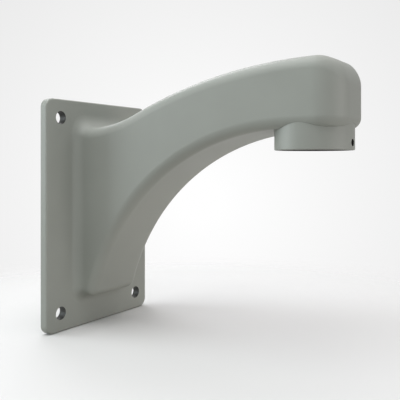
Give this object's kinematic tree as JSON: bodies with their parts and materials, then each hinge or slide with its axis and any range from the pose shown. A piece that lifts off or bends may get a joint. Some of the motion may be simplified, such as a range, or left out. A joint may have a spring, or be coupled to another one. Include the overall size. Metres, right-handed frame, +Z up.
{
  "type": "camera wall bracket",
  "caption": "Hollow cast gooseneck wall bracket: drilled flange, swept arm and a downward threaded collar with a locking set screw, for hanging a pendant camera.",
  "frame": {"origin": "middle of the flange's back face, on the wall", "axes": "+X straight out of the wall towards the head, +Z up, Y across the arm, which is symmetric about Y = 0"},
  "size_m": [0.2485, 0.13, 0.2193],
  "materials": {
    "powder_coat": "satin",
    "rubber": "matte",
    "black_steel": "satin",
    "stainless": "satin",
    "zinc_steel": "satin"
  },
  "bodies": {
    "bracket": {"arm_casting": "powder_coat", "thread_collar": "powder_coat", "collar_o_ring": "rubber", "wall_gasket": "rubber", "lanyard_eye": "stainless", "lanyard_nut": "stainless", "earth_screw": "zinc_steel", "earth_washer": "zinc_steel"},
    "set_screw": {"set_screw": "black_steel"}
  },
  "joints": [
    {"name": "set_screw_drive", "type": "slide", "parent": "bracket", "child": "set_screw", "axis": [-1, 0, 0], "range_m": [0, 0.003]}
  ]
}
